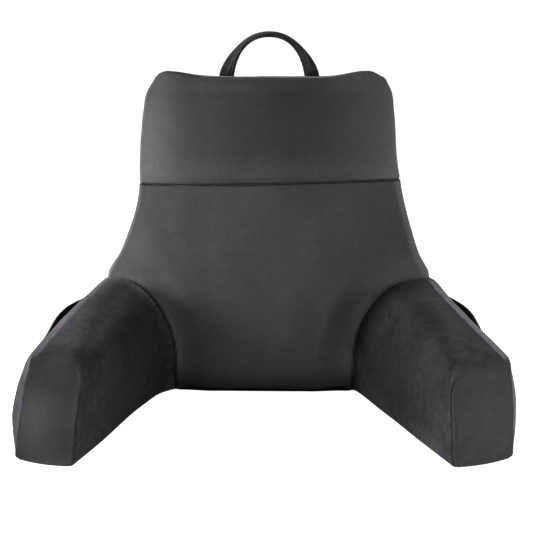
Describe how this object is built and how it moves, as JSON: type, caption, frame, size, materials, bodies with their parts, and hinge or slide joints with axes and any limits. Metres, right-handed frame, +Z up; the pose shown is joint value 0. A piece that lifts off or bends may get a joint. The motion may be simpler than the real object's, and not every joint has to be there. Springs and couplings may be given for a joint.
{
  "type": "reading pillow with arms",
  "caption": "Filled reading pillow with a leaning back, a separate head section, splayed arm rests, a carry handle on top and open side pockets.",
  "frame": {"origin": "on the floor, in the middle of the back section's flat base", "axes": "+Z up; -Y the way the pillow faces, towards the reader's lap; +X across the width, to the right as the pillow is looked at from its front"},
  "size_m": [0.7101, 0.5352, 0.5546],
  "materials": {
    "velour": "short-pile velour, soft sheen",
    "velour_arm": "short-pile velour, nap brushed the other way",
    "strap": "folded velour strap, topstitched",
    "pocket_cloth": "short-pile velour",
    "dark_tape": "matt woven tape"
  },
  "bodies": {
    "root": {"back_section": "velour", "head_section": "velour", "arm_left": "velour_arm", "arm_right": "velour_arm", "carry_handle": "strap", "pocket_left": "pocket_cloth", "pocket_right": "pocket_cloth", "pocket_binding_left": "dark_tape", "pocket_binding_right": "dark_tape"}
  },
  "joints": []
}
